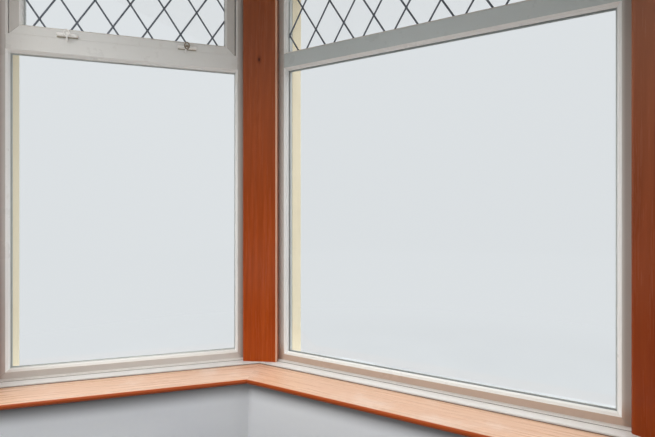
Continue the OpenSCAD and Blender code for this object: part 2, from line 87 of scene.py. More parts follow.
DIAMOND_W = 0.1283
DIAMOND_H = {"front": 0.208, "left": 0.197, "right": 0.197}
FIRST_ROW = {"front": 0.076, "left": 0.0345, "right": 0.0345}  # height of the leads' lowest crossings
CATCH_IN = 0.196  # distance of a catch from the end of the light
GUTTER_R = 0.056

GLASS_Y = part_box("glass_front")[1].y
BACK_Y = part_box("end_pier_right")[1].y
LEDGE_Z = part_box("ledge_front")[1].z
FRAME_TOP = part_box("frame_front")[1].z
CORNER_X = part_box("ledge_front")[1].x + (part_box("ledge_front")[0].y - GLASS_Y) * LEAN
CATCH_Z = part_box("catches")[1].z - 0.008  # height of the middle of the catches' bars
BOARD_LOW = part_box("board_front")[0].z
ROOF_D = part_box("roof_front")[0].y - GLASS_Y
ROOF_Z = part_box("roof_front")[0].z
GUTTER_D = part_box("gutter")[0].y - GLASS_Y + GUTTER_R
GUTTER_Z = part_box("gutter")[1].z


class Facet:
    """A side of the bay in plan, with its own flat frame."""

    def __init__(self, name, origin, along, inward):
        self.name = name
        self.origin = Vector(origin)
        self.along = Vector(along)
        self.inward = Vector(inward)
        self.turn = math.atan2(self.along.y, self.along.x)
        self.base_along = self.origin.dot(self.along)
        self.base_in = self.origin.dot(self.inward)

    def at(self, x, d, z):
        return self.origin + self.along * x + self.inward * d + Vector((0, 0, z))

    def local(self, point):
        point = point - self.origin
        return Vector((point.dot(self.along), point.dot(self.inward), point.z))


TURN_X, TURN_Y = math.cos(SPLAY), math.sin(SPLAY)
FRONT = Facet("front", (0, GLASS_Y, 0), (1, 0, 0), (0, 1, 0))
RIGHT = Facet("right", (CORNER_X, GLASS_Y, 0), (TURN_X, TURN_Y, 0), (-TURN_Y, TURN_X, 0))
LEFT = Facet("left", (-CORNER_X, GLASS_Y, 0), (-TURN_X, TURN_Y, 0), (TURN_Y, TURN_X, 0))
FACETS = [FRONT, LEFT, RIGHT]
SIDES = [LEFT, RIGHT]


# Shader building

def linear(colour):
    """The four linear numbers that shaders take. A colour that has four already is given back."""
    if len(colour) == 4:
        return colour
    shares = [value / 255 for value in colour]
    return (*(s / 12.92 if s <= 0.04045 else ((s + 0.055) / 1.055) ** 2.4 for s in shares), 1.0)


def times(colour, factor):
    """A colour made darker or lighter."""
    return (*(min(value * factor, 1) for value in linear(colour)[:3]), 1)


class Net:
    """A node tree, and short calls that add nodes to it."""

    def __init__(self, tree):
        self.tree = tree

    def feed(self, socket, value):
        """Links an output, or a node's first one, to a socket, or sets the socket's own value."""
        if isinstance(value, bpy.types.Node):
            value = value.outputs[0]
        if isinstance(value, bpy.types.NodeSocket):
            self.tree.links.new(value, socket)
        else:
            socket.default_value = linear(value) if socket.type == "RGBA" else value

    def fill(self, made, inputs):
        """Feeds several inputs of a node, given by name or number."""
        for name, value in inputs.items():
            self.feed(made.inputs[name], value)

    def node(self, kind, inputs=None, **settings):
        made = self.tree.nodes.new("ShaderNode" + kind)
        for name, value in settings.items():
            setattr(made, name, value)
        self.fill(made, inputs or {})
        return made

    def place(self, scale=(1, 1, 1), turn=0.0):
        """The point on the object in metres, turned about Z, then scaled."""
        point = self.node("TexCoord").outputs["Object"]
        if turn:
            point = self.node("Mapping", {"Vector": point, "Rotation": (0, 0, -turn)})
        return self.node("Mapping", {"Vector": point, "Scale": scale})

    @cached_property
    def here(self):
        return self.place()

    def axis(self, where, name):
        return self.node("SeparateXYZ", {"Vector": where}).outputs[name]

    def height(self):
        return self.axis(self.here, "Z")

    def dot(self, where, direction):
        return self.node("VectorMath", {0: where, 1: direction}, operation="DOT_PRODUCT").outputs["Value"]

    def along(self, direction, source="Normal"):
        """How far the surface's normal, or its place, points along a direction."""
        return self.dot(self.node("NewGeometry").outputs[source], direction)

    def noise(self, scale, detail=3.0, rough=0.55, warp=0.0, where=None):
        inputs = {"Vector": where or self.here, "Scale": scale, "Detail": detail, "Roughness": rough,
                  "Distortion": warp}
        return self.node("TexNoise", inputs)

    def wave(self, where, scale, warp, detail_scale=1.0, direction="X"):
        inputs = {"Vector": where, "Scale": scale, "Distortion": warp, "Detail": 3.0,
                  "Detail Scale": detail_scale}
        return self.node("TexWave", inputs, bands_direction=direction).outputs["Fac"]

    def ramp(self, value, *stops):
        """Colours along a value; each stop is (place, colour)."""
        made = self.node("ValToRGB", {"Fac": value})
        points = made.color_ramp.elements
        while len(points) < len(stops):
            points.new(0.5)
        for point, (where, colour) in zip(points, stops):
            point.position = where
            point.color = linear(colour)
        return made

    def mix(self, share, first, second):
        return self.node("Mix", {"Factor": share, 6: first, 7: second}, data_type="RGBA").outputs[2]

    def math(self, how, first, second=0.0):
        return self.node("Math", {0: first, 1: second}, operation=how)

    def product(self, first, *others):
        for value in others:
            first = self.math("MULTIPLY", first, value)
        return first

    def blend(self, *parts):
        """Sum of values, each times its weight."""
        total = None
        for value, weight in parts:
            part = self.math("MULTIPLY", value, weight)
            total = part if total is None else self.math("ADD", total, part)
        return total

    def span(self, value, low, high, to_low=0.0, to_high=1.0):
        """A value carried smoothly from one range to another, and held at its ends."""
        inputs = dict(enumerate((value, low, high, to_low, to_high)))
        return self.node("MapRange", inputs, interpolation_type="SMOOTHSTEP")

    def either(self, share, first, second):
        """A shader that passes from the first to the second."""
        return self.node("MixShader", {"Fac": share, 1: first, 2: second})

    def show(self, shader):
        """Makes a shader the one that the tree gives out."""
        output = next(made for made in self.tree.nodes if made.name.endswith("Output"))
        self.feed(output.inputs["Surface"], shader)


class Look(Net):
    """A material with one Principled shader."""

    def __init__(self, name, rough, shine=0.5, metal=0.0):
        self.material = bpy.data.materials.new(name)
        self.material.use_nodes = True
        super().__init__(self.material.node_tree)
        self.shader = self.tree.nodes["Principled BSDF"]
        self.fill(self.shader, {"Roughness": rough, "Specular IOR Level": shine, "Metallic": metal})

    def colour(self, value):
        self.feed(self.shader.inputs["Base Color"], value)

    def rough(self, value):
        self.feed(self.shader.inputs["Roughness"], value)

    def bump(self, height, depth):
        """Raises the surface by up to depth metres; calls stack."""
        made = self.node("Bump", {"Distance": depth, "Height": height})
        normal = self.shader.inputs["Normal"]
        if normal.is_linked:
            self.feed(made.inputs["Normal"], normal.links[0].from_socket)
        self.feed(normal, made)


# Materials

# Tones of the frames' faces and rails, where the rails' lighter, cooler tone is a painted light; share of the
# warm tint at the foot, a painted bounce light off the window board; and the painted shade beside the posts,
# as its shares at the facet's two ends and the width next to the posts where it holds its full share
FRONT_PAINT = {"face": ((213, 211, 206), (221, 219, 215)), "rail": ((211, 220, 221), (218, 227, 229)),
               "foot": 0.8, "grime_and_shade": (0.45, 0.32), "clean": 0.018}
SIDE_PAINT = {"face": ((206, 204, 200), (214, 212, 209)), "rail": ((230, 231, 229), (238, 239, 237)),
              "foot": 0.2, "grime_and_shade": (0.74, 0.55), "clean": 0.0}
SOFT_EDGE = 0.0006  # half the width over which one paint passes into the next


def lit_rail_share(look, facet, sash, run, height):
    """1 on a facet's transom, or its sash's foot rail between the mitres, else 0: where rails are painted
    lit.
    """
    lower, upper = LIGHTS[facet.name]
    x0, x1 = upper.x if sash else lower.x
    beside = look.math("MAXIMUM", look.math("SUBTRACT", run, x1), look.math("SUBTRACT", x0, run))
    if sash:
        below = look.math("SUBTRACT", upper.z[0], height)
        return look.span(look.math("SUBTRACT", below, beside), -SOFT_EDGE, SOFT_EDGE)
    between = look.span(beside, BEVEL - SOFT_EDGE, BEVEL + SOFT_EDGE, 1.0, 0.0)
    return look.product(between, look.span(height, lower.z[1] - SOFT_EDGE, lower.z[1] + SOFT_EDGE))


def frame_white(name, facet, sash=False):
    """Satin white. The bevels, rails and foot carry painted light, and the faces beside the posts painted
    shade.
    """
    paint = FRONT_PAINT if facet is FRONT else SIDE_PAINT
    look = Look(name, rough=0.3)
    mottle = look.noise(2.2, 4)
    run = look.math("SUBTRACT", look.along(facet.along, "Position"), facet.base_along)
    height = look.height()
    face, rail = (look.ramp(mottle, *zip((0.3, 0.7), paint[part])) for part in ("face", "rail"))
    # the transoms and sash foot rails take a lighter, cooler tone than the uprights: a painted light
    face = look.mix(lit_rail_share(look, facet, sash, run, height), face, rail)
    # a warm tint low on the faces: a painted bounce light off the window board
    foot = look.span(height, LEDGE_Z + 0.025, LEDGE_Z + 0.09, paint["foot"], 0.0)
    face = look.mix(foot, face, (192, 160, 138))
    if not sash:
        (start, lean_a), (end, lean_b) = ends_at_posts(facet)
        from_start = look.math("SUBTRACT", run, start + lean_a * FACE)
        from_end = look.math("SUBTRACT", end + lean_b * FACE, run)
        # darker next to the posts: a painted shade
        for near, most in zip((from_start, from_end), paint["grime_and_shade"]):
            face = look.mix(look.span(near, paint["clean"], 0.030, most, 0.0), face, (114, 90, 74))
    # the bevels' and edges' white, brighter than the faces: painted light on them, painted shade on the faces
    clean = look.ramp(mottle, (0.3, (248, 249, 248)), (0.7, (252, 252, 251)))
    # darker where the bevels face up: a painted shade
    clean = look.mix(look.span(look.along((0, 0, 1)), 0.3, 0.6), clean, (232, 229, 224))
    behind = look.span(look.along(-facet.inward, "Position"), 0.002 - facet.base_in, 0.004 - facet.base_in)
    clean = look.mix(behind, clean, (206, 209, 206))
    base = look.mix(look.span(look.along(facet.inward), 0.80, 0.97), clean, face)
    # random patches of soiling, not shade
    grime_and_shade = look.noise(60, 5, 0.7, where=look.place((1, 1, 0.5)))
    look.colour(look.mix(look.span(grime_and_shade, 0.56, 0.78, 0.0, 0.2), base, (186, 180, 166)))
    look.rough(look.span(look.noise(9, 4), 0.3, 0.7, 0.27, 0.34))
    look.bump(look.noise(14, 2), 0.0006)
    look.bump(look.noise(420, 2), 0.00006)
    return look.material


def painted_white(name, tone, turn=0.0):
    """Brushed gloss paint on board, with faint strokes along it and scuffs."""
    look = Look(name, rough=0.35)
    mottle = look.noise(5, 5, 0.6)
    strokes = look.noise(240, 3, where=look.place((0.05, 1, 1), turn))
    base = look.ramp(look.blend((mottle, 0.6), (strokes, 0.4)), (0.35, times(tone, 0.93)), (0.62, tone))
    scuff = look.span(look.noise(46, 6, 0.72), 0.62, 0.76, 0.0, 0.4)
    look.colour(look.mix(scuff, base, times(tone, 0.72)))
    look.rough(look.span(mottle, 0.3, 0.7, 0.28, 0.45))
    look.bump(strokes, 0.00025)
    return look.material


def softwood(name, grain, turn, stain, gloss, shine=0.5):
    """Varnished softwood with its grain along one axis, "X" or "Z". stain is (dark, middle, pale).

    Gives the look, its grain as a value, and its shade, which the caller works on and feeds to the colour.
    """
    look = Look(name, rough=gloss, shine=shine)
    axes = {"X": (0.045, 1, 1), "Z": (1, 1, 0.045)}[grain]
    finer = tuple(a * (0.5 if a < 1 else 1) for a in axes)
    where = look.place(axes, turn)
    bent = look.noise(5.0, 3, 0.5, 0.6, look.place(tuple(a ** 0.6 for a in axes), turn))
    rings = look.wave(where, 16.0, 7.0, 1.6, "Y" if grain == "X" else "DIAGONAL")
    streaks = look.noise(55, 4, 0.62, where=where)
    fibres = look.noise(330, 3, 0.7, where=look.place(finer, turn))
    tone = look.blend((bent, 0.44), (rings, 0.10), (streaks, 0.22), (fibres, 0.20))
    look.rough(look.span(look.blend((streaks, 0.6), (fibres, 0.4)), 0.35, 0.68, gloss * 0.8, gloss * 1.5))
    look.bump(fibres, 0.00012)
    look.bump(streaks, 0.00025)
    return look, tone, look.ramp(tone, *zip((0.22, 0.48, 0.76), stain))


def board_wood(facet):
    """The window boards: pale on top, deeply stained on the nosing and darker along the ledge.

    The pale top is partly wear and partly a painted sheen, the nosing's stain is deepened as painted shade,
    and the darker strip along the ledge is a painted shadow.
    """
    stain = ((203, 156, 125), (216, 176, 148), (225, 194, 171))
    deep = (166, 68, 2)
    look, tone, shade = softwood("board_wood_" + facet.name, "X", facet.turn, stain, 0.27)
    # pale patches: wear in the varnish and a painted sheen
    wear_and_sheen = look.span(look.noise(7.0, 4, 0.6), 0.5, 0.72, 0.0, 0.4)
    nosing = look.ramp(tone, (0.28, times(deep, 0.72)), (0.80, times(deep, 1.2)))
    # the top takes the pale stain, a painted sheen; the nosing the deep one, darkened as painted shade
    up = look.span(look.along((0, 0, 1)), 0.86, 0.995)
    shade = look.mix(up, nosing, look.mix(wear_and_sheen, shade, (230, 210, 196)))
    # darker along the ledge: a painted shadow of the ledge's step on the board
    start = facet.base_in + BOARD_IN
    ledge_shadow = look.span(look.along(facet.inward, "Position"), start, start + 0.016, 0.5, 0.0)
    look.colour(look.mix(ledge_shadow, shade, times(stain[0], 0.55)))
    return look.material


def post_wood(name, stain, top_sheen, highlight_way=None, knot=None):
    """A post, paler and greyer towards its top: a painted sheen. knot is (place, size).

    highlight_way is where an edge with a painted highlight faces.
    """
    look, tone, shade = softwood(name, "Z", 0, stain, 0.22, shine=0.3)
    # paler and greyer towards the top: a painted sheen
    above = look.ramp(tone, (0.28, times(top_sheen, 0.8)), (0.80, times(top_sheen, 1.2)))
    shade = look.mix(look.span(look.height(), 0.95, 2.4, 0.0, 0.85), shade, above)
    if highlight_way:
        # a pale line on the edge that faces highlight_way: a painted highlight
        edge_highlight = look.span(look.along(highlight_way), 0.76, 0.86, 0.0, 0.85)
        shade = look.mix(edge_highlight, shade, (240, 196, 168))
    if knot:
        spot, size = knot
        squeeze = Vector((1, 1, 0.6))  # the knot is longer up the post
        away = look.node("VectorMath", {0: look.place(squeeze), 1: squeeze * Vector(spot)},
                         operation="DISTANCE").outputs["Value"]
        shade = look.mix(look.span(away, size * 0.7, size * 2.4, 0.5, 0.0), shade, times(stain[0], 0.55))
        shade = look.mix(look.span(away, size * 0.35, size, 0.95, 0.0), shade, times(stain[0], 0.18))
    look.colour(shade)
    return look.material


def masonry(name, facet, core):
    """Painted cream render outside, smooth pale plaster inside, and the bare core where it meets the house.

    The plaster is shaded right under the window boards.
    """
    look = Look(name, rough=0.85, shine=0.3)
    cream = look.ramp(look.noise(2.6, 5, 0.6), (0.3, (251, 238, 206)), (0.7, (254, 243, 216)))
    streaks = look.noise(34, 4, 0.65, where=look.place((1, 1, 0.07)))
    cream = look.mix(look.span(streaks, 0.55, 0.8, 0.0, 0.28), cream, (196, 184, 156))
    splash = look.math("ADD", look.height(), look.math("MULTIPLY", look.noise(9, 4), 0.16))
    cream = look.mix(look.span(splash, 0.12, 0.42, 0.55, 0.0), cream, (156, 148, 130))
    tone = look.blend((look.noise(1.7, 3), 0.7), (look.noise(60, 3), 0.3))
    plaster = look.ramp(tone, (0.35, (245, 248, 254)), (0.65, (249, 252, 255)))
    shaded = look.span(look.height(), BOARD_LOW - 0.070, BOARD_LOW + 0.006, 0.0, 0.80)
    plaster = look.mix(shaded, plaster, (70, 66, 64))
    inside = look.span(look.along(facet.inward), 0.85, 0.95)
    colour = look.mix(inside, cream, plaster)
    cut = look.span(look.along((0, 1, 0)), 0.97, 0.99)
    at_wall = look.span(look.axis(look.here, "Y"), BACK_Y - 0.002, BACK_Y - 0.001)
    depth = look.along(facet.inward, "Position")
    core_out = facet.base_in + WALL_D + RENDER_T
    core_in = facet.base_in + PLASTER_D - PLASTER_T
    past_render = look.span(depth, core_out - 0.001, core_out + 0.001)
    before_plaster = look.span(depth, core_in - 0.001, core_in + 0.001, 1.0, 0.0)
    look.colour(look.mix(look.product(cut, at_wall, past_render, before_plaster), colour, core(look)))
    grit = look.noise(240, 5, 0.75)
    look.bump(look.product(grit, look.math("SUBTRACT", 1.0, inside)), 0.0016)
    look.bump(look.noise(12, 3), 0.0016)
    look.bump(look.product(look.noise(300, 3, 0.6), inside), 0.0005)
    look.rough(look.span(inside, 0, 1, 0.9, 0.62))
    return look.material


def brick_core(look):
    """Brickwork laid in courses, cut through."""
    flat = look.node("CombineXYZ", {"X": look.axis(look.here, "X"), "Y": look.axis(look.here, "Z")})
    bricks = look.node("TexBrick", {
        "Vector": flat, "Scale": 1.0, "Brick Width": 0.225, "Row Height": 0.075,
        "Mortar Size": 0.006, "Color1": (156, 88, 62), "Color2": (134, 72, 52), "Mortar": (176, 170, 158)})
    spots = look.span(look.noise(90, 4, 0.7), 0.45, 0.8, 0.0, 0.4)
    return look.mix(spots, bricks, (96, 60, 48))


def concrete_core(look):
    return look.ramp(look.noise(70, 5, 0.7), (0.3, (138, 136, 130)), (0.7, (166, 164, 158)))


def sill_stone():
    look = Look("sill_stone", rough=0.7)
    pale = look.ramp(look.noise(6, 5, 0.6), (0.3, (174, 178, 182)), (0.7, (194, 199, 204)))
    lichen = look.span(look.noise(38, 5, 0.7), 0.6, 0.75, 0.0, 0.5)
    look.colour(look.mix(lichen, pale, (140, 142, 134)))
    look.bump(look.noise(160, 5, 0.7), 0.0007)
    return look.material


def plaster_white():
    look = Look("plaster_white", rough=0.85, shine=0.2)
    tone = look.blend((look.noise(2, 3), 0.7), (look.noise(50, 3), 0.3))
    look.colour(look.ramp(tone, (0.35, (224, 223, 218)), (0.65, (233, 232, 228))))
    look.bump(look.noise(420, 2), 0.0003)
    look.bump(look.noise(7, 3), 0.0012)
    return look.material


def sawn_timber(name, grain):
    look = Look(name, rough=0.8, shine=0.3)
    where = look.place(grain)
    tone = look.blend((look.wave(where, 10, 6), 0.4), (look.noise(60, 4, 0.7, where=where), 0.5))
    look.colour(look.ramp(tone, (0.2, (150, 112, 70)), (0.5, (186, 148, 100)), (0.8, (208, 174, 128))))
    look.bump(look.noise(220, 3), 0.0006)
    return look.material


def lead_sheet():
    look = Look("lead_sheet", rough=0.55, metal=0.6)
    patina = look.noise(11, 6, 0.65)
    look.colour(look.ramp(patina, (0.3, (98, 103, 109)), (0.55, (122, 127, 132)), (0.8, (150, 153, 155))))
    look.rough(look.span(patina, 0.3, 0.75, 0.45, 0.7))
    look.bump(look.noise(26, 3), 0.003)
    return look.material


def lead_came():
    look = Look("lead_came", rough=0.45, metal=0.2)
    look.colour(look.ramp(look.noise(45, 4), (0.3, (96, 104, 115)), (0.75, (134, 142, 153))))
    look.bump(look.noise(300, 3), 0.0003)
    return look.material


def clear_glass():
    """Clear glass that lets lamps through."""
    look = Look("clear_glass", rough=0.0)
    look.fill(look.shader, {"Transmission Weight": 1.0, "IOR": 1.45, "Base Color": (0.98, 0.987, 0.985, 1)})
    through = look.node("BsdfTransparent", {"Color": (0.945, 0.953, 0.95, 1)})
    shadow = look.node("LightPath").outputs["Is Shadow Ray"]
    look.show(look.either(shadow, look.shader, through))
    return look.material


def plain_look(name, tone, rough, metal=0.0, spread=0.12, grain=60):
    """A lightly mottled, lightly worn surface of one tone."""
    look = Look(name, rough=rough, metal=metal)
    mottle = look.noise(grain, 4, 0.6)
    look.colour(look.ramp(mottle, (0.3, times(tone, 1 - spread)), (0.7, times(tone, 1 + spread))))
    look.rough(look.span(mottle, 0.3, 0.7, rough * 0.8, min(rough * 1.25, 1)))
    look.bump(look.noise(grain * 3, 3), 0.0001)
    return look.material


def seal_look(name, tone):
    """Seals, paler on the jambs than along a pane's head and foot, where a darker given tone is a painted
    shade.
    """
    look = Look(name, rough=0.5)
    upright = look.span(look.math("ABSOLUTE", look.along((0, 0, 1))), 0.25, 0.7, 1.0, 0.0)
    look.colour(look.mix(upright, tone, (206, 209, 207)))
    look.bump(look.noise(180, 3), 0.0001)
    return look.material


def riven_slate():
    """Blue grey slate; each slate has a tint of its own, under stains and a little moss."""
    look = Look("riven_slate", rough=0.6, shine=0.4)
    tint = look.node("Attribute", attribute_name="tint").outputs["Fac"]
    base = look.ramp(tint, (0.0, (82, 88, 97)), (0.5, (92, 98, 107)), (0.85, (101, 105, 112)),
                     (1.0, (100, 98, 106)))
    stain = look.span(look.noise(7, 5, 0.65), 0.5, 0.8, 0.0, 0.4)
    moss = look.span(look.noise(16, 6, 0.7), 0.66, 0.76, 0.0, 0.5)
    look.colour(look.mix(moss, look.mix(stain, base, (130, 130, 124)), (100, 106, 74)))
    look.bump(look.noise(55, 5, 0.7), 0.0016)
    look.rough(look.span(stain, 0, 0.4, 0.5, 0.75))
    return look.material


# Mesh building

def linked(name, data):
    """A new object in the scene."""
    made = bpy.data.objects.new(name, data)
    bpy.context.scene.collection.objects.link(made)
    return made


def mesh_object(name, bm, material):
    """A new object with a bmesh's faces; the bmesh is freed."""
    mesh = bpy.data.meshes.new(name)
    bm.to_mesh(mesh)
    bm.free()
    mesh.materials.append(material)
    return linked(name, mesh)


def new_piece(name, bm, material, smooth=False):
    """Turns a bmesh into a piece that rides on the bay."""
    bmesh.ops.recalc_face_normals(bm, faces=bm.faces)
    piece = mesh_object(name, bm, material)
    if smooth:
        piece.data.shade_smooth()
        piece.data.set_sharp_from_angle(angle=math.radians(35))
    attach(piece, "root")
    return piece


def loft(bm, loops, closed=False):
    """A skin through loops of as many points each, with its two ends filled unless it closes on itself."""
    rings = [[bm.verts.new(point) for point in loop] for loop in loops]
    count = len(rings[0])
    pairs = list(zip(rings, rings[1:]))
    if closed:
        pairs.append((rings[-1], rings[0]))
    for a, b in pairs:
        for i in range(count):
            j = (i + 1) % count
            bm.faces.new((a[i], a[j], b[j], b[i]))
    if not closed:
        bm.faces.new(rings[0])
        bm.faces.new(rings[-1])


def add_block(bm, facet, x, d, z):
    """A block in a facet's frame; x, d and z are (low, high)."""
    corners = [(x[0], d[0]), (x[1], d[0]), (x[1], d[1]), (x[0], d[1])]
    loft(bm, [[facet.at(a, b, height) for a, b in corners] for height in z])


def add_run(bm, facet, start, end, section):
    """A moulding along a facet. start and end are (x, lean), and section lists its (depth, height) points."""
    loft(bm, [[facet.at(x + lean * d, d, z) for d, z in section] for x, lean in (start, end)])


def add_ring(bm, facet, x, z, section):
    """A mitred ring round a rectangle. section lists (outset, depth) round it."""
    loops = []
    for i, out_x, k, out_z in ((0, -1, 0, -1), (1, 1, 0, -1), (1, 1, 1, 1), (0, -1, 1, 1)):
        loops.append([facet.at(x[i] + out_x * out, depth, z[k] + out_z * out) for out, depth in section])
    loft(bm, loops, closed=True)


def circle(x, z, radius, sides):
    """Points round a circle."""
    angles = [2 * math.pi * i / sides for i in range(sides)]
    return [(x + radius * math.cos(a), z + radius * math.sin(a)) for a in angles]


def add_turned(bm, facet, x, z, profile, sides):
    """A turned shape that stands off the glass; profile lists its (radius, depth)."""
    loft(bm, [[facet.at(px, d, pz) for px, pz in circle(x, z, radius, sides)] for radius, d in profile])


def moulding(ends, corner, section):
    """What shapes a moulding along a facet. section is measured from corner, and both are (depth, height)."""
    points = [(corner[0] + d, corner[1] + z) for d, z in section]
    return lambda bm, facet: add_run(bm, facet, *ends(facet), points)


def on_facets(name, build, material, smooth=False, on_sides=None):
    """A piece for each facet, shaped by build(bm, facet). on_sides is a material of the sides' own."""
    pieces = []
    for facet in FACETS:
        bm = bmesh.new()
        build(bm, facet)
        paint = material if facet is FRONT else on_sides or material
        pieces.append(new_piece(f"{name}_{facet.name}", bm, paint, smooth))
    return pieces


def pour(bm, target):
    """Adds a bmesh to another one and frees it."""
    if bm.faces:
        mesh = bpy.data.meshes.new("poured")
        bm.to_mesh(mesh)
        target.from_mesh(mesh)
        bpy.data.meshes.remove(mesh)
    bm.free()


Light = namedtuple("Light", "x z")  # visible glass, as (low, high) in x and z


def panes(node, facet):
    """The lights of a glass node, the lower one first."""
    points = [facet.local(vert.co) for vert in nodes[node].data.vertices]
    levels = sorted({round(p.z, 4) for p in points})
    found = []
    for low, high in zip(levels[::2], levels[1::2]):
        pane = [p for p in points if low - 0.001 < p.z < high + 0.001]
        ranges = ([p.x for p in pane], [p.z for p in pane])
        found.append(Light(*((min(r) + GLASS_EDGE, max(r) - GLASS_EDGE) for r in ranges)))
    return found


LIGHTS = {facet.name: panes("glass_" + facet.name, facet) for facet in FACETS}


def side_end(facet):
    """Where a side frame's face ends, at the end post."""
    return LIGHTS[facet.name][0].x[1] + FRAME_W - END_POST_LAP


def ends_at_posts(facet):
    """Where a moulding on the frames stops, against the sides of the posts."""
    if facet is FRONT:
        return (POST_REACH - CORNER_X, LEAN), (CORNER_X - POST_REACH, -LEAN)
    return (POST_REACH, LEAN), (side_end(facet), 0)


def ends_at_mitres(facet):
    """Where a board in front of the frames stops, at the mitres and the plaster."""
    if facet is FRONT:
        return (-CORNER_X, LEAN), (CORNER_X, -LEAN)
    return (0, LEAN), (side_end(facet) + END_POST_W, 0)


# Camera, lights, floor

FOCAL_PIXELS = 429.65  # focal length of the view in pixels of a 655 pixel wide picture
PICTURE_W = 655
EYE = Vector((-0.443, GLASS_Y + 1.523, 1.456))
LOOK_TURN = math.radians(28.8)
HORIZON_RISE = 3.5  # pixels from the picture's middle up to eye level
BACKDROP = (224, 228, 231)
BRIGHT_WAY = Vector((-0.62, -0.66, 0.65)).normalized()  # towards the brightest part of the sky
SKY_LIGHT = 0.85  # strength of light from there
ROOM_LIGHT = 0.13  # strength from the opposite side
CEILING_GLOSS = 0.3  # share of the backdrop that gloss mirrors overhead
MIRRORED_FLOOR = 0.25  # share of the far floor's glow that a mirror shows


def make_camera():
    data = bpy.data.cameras.new("camera")
    data.sensor_width = 36
    data.lens = FOCAL_PIXELS / PICTURE_W * data.sensor_width
    data.shift_y = -HORIZON_RISE / PICTURE_W
    data.clip_start = 0.02
    camera = linked("camera", data)
    camera.location = EYE
    camera.rotation_euler = (math.pi / 2, 0, math.pi + LOOK_TURN)
    bpy.context.scene.camera = camera


def make_lamp(name, place, target, size, power, colour=(1, 1, 1)):
    """A soft lamp that lights the object and isn't seen through the glass."""
    data = bpy.data.lights.new(name, "AREA")
    data.shape = "RECTANGLE"
    data.size, data.size_y = size
    data.energy = power
    data.color = colour
    lamp = linked(name, data)
    lamp.location = place
    lamp.rotation_euler = (Vector(target) - Vector(place)).to_track_quat("-Z", "Y").to_euler()
    lamp.visible_camera = False
    lamp.visible_transmission = False
    lamp.visible_glossy = False


def make_world():
    """Soft light, brighter from the street, and a plain backdrop where the camera or the glass looks out.

    Gloss mirrors the backdrop too, whole towards the street and dimmed towards the room.
    """
    world = bpy.data.worlds.new("world")
    bpy.context.scene.world = world
    world.use_nodes = True
    net = Net(world.node_tree)
    way = net.node("TexCoord").outputs["Generated"]
    bright = net.dot(way, BRIGHT_WAY)
    overhead = net.span(net.axis(way, "Z"), -0.1, 0.45, 0.0, CEILING_GLOSS)
    sky = net.tree.nodes["Background"]
    light = net.span(bright, -0.85, 0.85, ROOM_LIGHT, SKY_LIGHT)
    net.fill(sky, {"Color": (0.97, 0.985, 1.0, 1), "Strength": light})
    sheen = net.math("ADD", net.span(bright, -0.85, 0.85), overhead)
    mirrored = net.node("Background", {"Color": BACKDROP, "Strength": sheen})
    backdrop = net.node("Background", {"Color": BACKDROP})
    path = net.node("LightPath").outputs
    seen = net.math("MAXIMUM", path["Is Camera Ray"], path["Is Transmission Ray"])
    net.show(net.either(seen, net.either(path["Is Glossy Ray"], sky, mirrored), backdrop))


def make_floor():
    """A pale floor that keeps the object's shadow, and turns into the backdrop further out.

    It throws less light up than its own tone would, so that the undersides of the boards keep their shade.
    """
    look = Look("floor_pale", rough=0.9, shine=0.1)
    tone = look.ramp(look.noise(1.5, 3), (0.3, (184, 187, 189)), (0.7, (188, 191, 193)))
    flat = look.place((1, 1, 0))
    distance = look.node("VectorMath", {0: flat}, operation="LENGTH").outputs["Value"]
    path = look.node("LightPath").outputs
    seen = look.math("MAXIMUM", path["Is Camera Ray"], path["Is Transmission Ray"])
    seen = look.math("MAXIMUM", seen, path["Is Glossy Ray"])
    look.colour(look.mix(seen, (84, 80, 75), tone))
    mirrored = look.math("SUBTRACT", path["Is Glossy Ray"], path["Is Transmission Ray"])
    glow = look.node("Emission", {
        "Color": BACKDROP, "Strength": look.span(mirrored, 0.0, 1.0, 1.0, MIRRORED_FLOOR)})
    far = look.product(look.span(distance, 1.6, 5.5), seen)
    look.show(look.either(far, look.shader, glow))
    bm = bmesh.new()
    bmesh.ops.create_circle(bm, cap_ends=True, segments=96, radius=16)
    mesh_object("floor", bm, look.material)


# Small parts of the lights

def add_gaskets(bm, facet):
    """Thin seals between the glass and its beads."""
    wide, deep = 0.0014, 0.0035
    section = [(0, 0), (-wide, 0), (-wide, deep * 0.6), (-wide * 0.4, deep), (0.0004, deep)]
    for x, z in LIGHTS[facet.name]:
        add_ring(bm, facet, x, z, section)


def add_outer_beads(bm, facet):
    """Sloping glazing beads on the street face of the glass."""
    section = [(-0.0025, 0.0002), (-0.0025, 0.0035), (-0.0012, 0.0058), (0.0115, 0.0140), (0.0115, 0.0002)]
    for (x, z), thick in zip(LIGHTS[facet.name], (GLASS_T, LEADED_T)):
        add_ring(bm, facet, x, z, [(out, -thick - d) for out, d in section])


def frame_corners(facet):
    """The mitres of a facet's frame and sash, as inner corner, outer corner and depth of the face."""
    lower, upper = LIGHTS[facet.name]
    found = [((x + out * BEVEL, lower.z[0] - BEVEL), (x + out * FRAME_W, LEDGE_Z), FACE)
             for x, out in zip(lower.x, (-1, 1))]
    if facet is FRONT:
        return found + [((x + out * BEVEL, upper.z[1] + BEVEL), (x + out * FRAME_W, FRAME_TOP), FACE)
                        for x, out in zip(lower.x, (-1, 1))]
    for x, out in zip(upper.x, (-1, 1)):
        for z, up, rail in zip(upper.z, (-1, 1), (SASH_FOOT, SASH_STILE)):
            inner = (x + out * BEVEL, z + up * BEVEL)
            found.append((inner, (x + out * SASH_STILE, z + up * rail), SASH_FACE))
    return found


